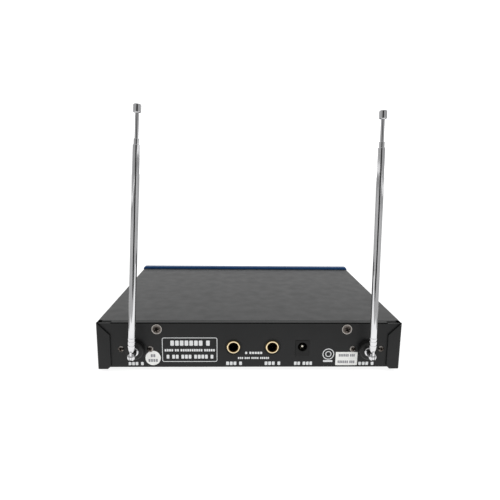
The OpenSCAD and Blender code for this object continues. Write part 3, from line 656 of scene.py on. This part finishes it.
def rear_graphics():
    """Plain blocks where the rear panel has its print, with no lettering and no real symbol."""
    marks = Print(PANEL_Y, 1)
    box_x, box_z, box_w, box_h = 40.9 * MM, BASE_Z + 13.4 * MM, 37.2 * MM, 17.4 * MM
    marks.border(box_x, box_z, box_w, box_h, r=1.3 * MM, line=0.42 * MM)
    add_rows(marks, PANEL_ROWS, 0.0, BASE_Z)
    # Two rings over a bar stand in for a symbol
    ring_x, ring_z, line = -53.6 * MM, BASE_Z + 10.2 * MM, 0.55 * MM
    for across in (8.0 * MM, 4.2 * MM):
        marks.ring(ring_x, ring_z, across, across - 2 * line, arc=8)
    bar_x, bar_z, bar_w, bar_h = -53.4 * MM, BASE_Z + 5.1 * MM, 6.4 * MM, 1.3 * MM
    marks.bar(bar_x, bar_z, bar_w, bar_h)
    marks.done("rear_print", printed_white(), "case")


def label_graphics():
    """Grey blocks on the two stickers."""
    marks = Print(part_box("spec_label")[1].y, 1, PRINT_THICK / 2)
    for sticker, rows in STICKER_ROWS.items():
        add_rows(marks, rows, middle(sticker).x, middle(sticker).z)
    marks.done("label_print", printed_grey(), "case")


# A knob's travel in degrees, and the ticks round it. The first, middle and last are long ones.
KNOB_TRAVEL = 300
SCALE_TICKS = 11
LONG_TICK_STEP = 5
SCALE_R = 12.2 * MM
TICK_LENGTH = 1.3 * MM
LONG_TICK_LENGTH = 2.0 * MM
TICK_HALF_W = 0.28 * MM


def knob_scale(name, x, z):
    """Tick marks round a volume knob, over its travel."""
    marks = Print(BEZEL_LOW.y, -1)
    for i in range(SCALE_TICKS):
        a = math.radians(-KNOB_TRAVEL / 2 + KNOB_TRAVEL * i / (SCALE_TICKS - 1))
        along, across = Vector((math.sin(a), math.cos(a))), Vector((math.cos(a), -math.sin(a)))
        half = (TICK_LENGTH if i % LONG_TICK_STEP else LONG_TICK_LENGTH) / 2
        centre = Vector((x, z)) + SCALE_R * along
        corners = [
            centre + s * half * along + t * TICK_HALF_W * across
            for s, t in ((-1, -1), (1, -1), (1, 1), (-1, 1))
        ]
        marks.fill([tuple(c) for c in corners])
    marks.done(name, printed_white(), "case")


def knob_pointer(name, knob, body):
    """The white line let into a knob's face."""
    sunk, thick = 0.5 * MM, 0.30 * MM
    off_centre, width, length = 5.3 * MM, 0.86 * MM, 5.0 * MM
    centre = middle(knob)
    marks = Print(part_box(knob)[0].y + sunk, -1, thick)
    marks.bar(centre.x, centre.z + off_centre, width, length)
    marks.done(name, printed_white(), body)


def front_graphics():
    """The knobs' scales and pointers, and a ring round the power button."""
    for channel in "ab":
        knob = f"volume_knob_{channel}"
        place = middle(knob)
        knob_scale(f"volume_scale_{channel}", place.x, place.z)
        knob_pointer(f"knob_pointer_{channel}", knob, f"volume_{channel}")
    button = middle("power_button")
    marks = Print(BEZEL_LOW.y, -1)
    marks.ring(button.x, button.z, outer=13.0 * MM, inner=12.2 * MM, arc=10)
    marks.done("button_ring", printed_white(), "case")


# ---- Stage ----

FLOOR_HALF = 6.0
FLOOR_GLOW = 0.90
DOME_R = 6.0
DOME_GLOW = 1.05
LIGHT_SIZE = 0.9
LIGHT_AIM = Vector((0, 0, 0.02))


def add_floor():
    """A white floor, most of whose light is its own."""
    mesh = bpy.data.meshes.new("floor")
    corners = [(x * FLOOR_HALF, y * FLOOR_HALF, 0) for x, y in ((-1, -1), (1, -1), (1, 1), (-1, 1))]
    mesh.from_pydata(corners, [], [(0, 1, 2, 3)])
    floor = put("floor", mesh)
    finish = Finish("floor_paper", (0.30, 0.30, 0.30), 0.8).dull(0.0)
    finish.blotch(0.4, (0.28, 0.28, 0.28)).glow(FLOOR_GLOW)
    mesh.materials.append(finish.material)


def add_area(name, place, power):
    """A square light aimed at the receiver, which no reflection shows."""
    data = bpy.data.lights.new(name, "AREA")
    data.shape = "RECTANGLE"
    data.size, data.size_y = LIGHT_SIZE, LIGHT_SIZE
    data.energy = power
    light = put(name, data)
    light.location = place
    light.rotation_euler = (LIGHT_AIM - Vector(place)).to_track_quat("-Z", "Y").to_euler()
    light.visible_camera = False
    light.visible_glossy = False


def add_card(name, corners, faces, grey, patch):
    """A card of one grey, with faint patches of another, that only reflections see."""
    mesh = bpy.data.meshes.new(name)
    mesh.from_pydata(corners, [], faces)
    card = put(name, mesh)
    finish = Finish(name, (grey,) * 3, 0.9).dull(0.0).blotch(0.1, (patch,) * 3)
    mesh.materials.append(finish.material)
    card.visible_camera = False
    card.visible_shadow = False
    card.visible_diffuse = False


def add_cards():
    """A dark card behind the camera with its foot on the floor, and grey paper on the floor."""
    near, far = 0.25, 0.42
    narrow, wide, high = 0.05, 0.13, 0.55
    lift = 2.0 * MM
    side = CAMERA_SIDE
    corners = [
        (side - narrow, near, lift), (side + narrow, near, lift),
        (side + wide, far, lift), (side - wide, far, lift),
        (side + wide, far, high), (side - wide, far, high),
    ]
    add_card("dark_card", corners, [(0, 1, 2, 3), (3, 2, 4, 5)], grey=0.025, patch=0.045)
    wide, deep, spread, lift = 0.18, 0.20, 15.0, 1.0 * MM
    ring = [(-wide, -deep, lift), (wide, -deep, lift), (wide, deep, lift), (-wide, deep, lift)]
    ring += [(x * spread, y * spread, z) for x, y, z in ring]
    faces = [(k, (k + 1) % 4, (k + 1) % 4 + 4, k + 4) for k in range(4)]
    add_card("grey_card", ring, faces, grey=0.55, patch=0.50)


def add_backdrop():
    """A white dome far round the receiver, which only the camera sees."""
    mesh = bpy.data.meshes.new("backdrop")
    shape = bmesh.new()
    bmesh.ops.create_uvsphere(shape, u_segments=48, v_segments=24, radius=DOME_R)
    shape.to_mesh(mesh)
    shape.free()
    finish = Finish("backdrop_white", (0.9, 0.9, 0.9), 0.9)
    finish.blotch(1.0, (0.88, 0.88, 0.88)).glow(DOME_GLOW)
    mesh.materials.append(finish.material)
    dome = put("backdrop", mesh)
    for ray in ("diffuse", "glossy", "transmission", "volume_scatter", "shadow"):
        setattr(dome, "visible_" + ray, False)


def add_light():
    """A soft grey studio, with a brighter sky over the front of the receiver, and two lights."""
    world = bpy.data.worlds.new("studio")
    world.use_nodes = True
    tree = world.node_tree
    back = tree.nodes["Background"]
    back.inputs["Color"].default_value = (1.0, 1.0, 1.0, 1.0)
    places = tree.nodes.new("ShaderNodeSeparateXYZ")
    directions = tree.nodes.new("ShaderNodeTexCoord").outputs["Generated"]
    tree.links.new(directions, places.inputs["Vector"])

    def ramp(axis, start, end, low, high):
        """Smoothly from low to high, as a direction's part along an axis goes from start to end."""
        node = tree.nodes.new("ShaderNodeMapRange")
        node.interpolation_type = "SMOOTHSTEP"
        settings = {"From Min": start, "From Max": end, "To Min": low, "To Max": high}
        for name, value in settings.items():
            node.inputs[name].default_value = value
        tree.links.new(places.outputs[axis], node.inputs["Value"])
        return node.outputs["Result"]

    # The sky over the front, times how high a direction points, plus the grey all round
    front_sky = ramp("Y", -0.8, -0.2, 0.62, 0.0)
    above = ramp("Z", 0.08, 0.30, 0.0, 1.0)
    all_round = ramp("Y", -0.55, 0.30, 0.62, 0.42)
    total = tree.nodes.new("ShaderNodeMath")
    total.operation = "MULTIPLY_ADD"
    for source, target in zip((front_sky, above, all_round), total.inputs):
        tree.links.new(source, target)
    tree.links.new(total.outputs["Value"], back.inputs["Strength"])
    bpy.context.scene.world = world
    add_area("key", (-0.9, 0.9, 1.3), power=10.0)
    add_area("fill", (1.2, 0.5, 0.9), power=6.0)
    bpy.context.scene.view_settings.view_transform = "Standard"


# ---- Build ----

add_camera()
paint_cad_nodes()
rear_graphics()
label_graphics()
front_graphics()
add_floor()
add_cards()
add_backdrop()
add_light()
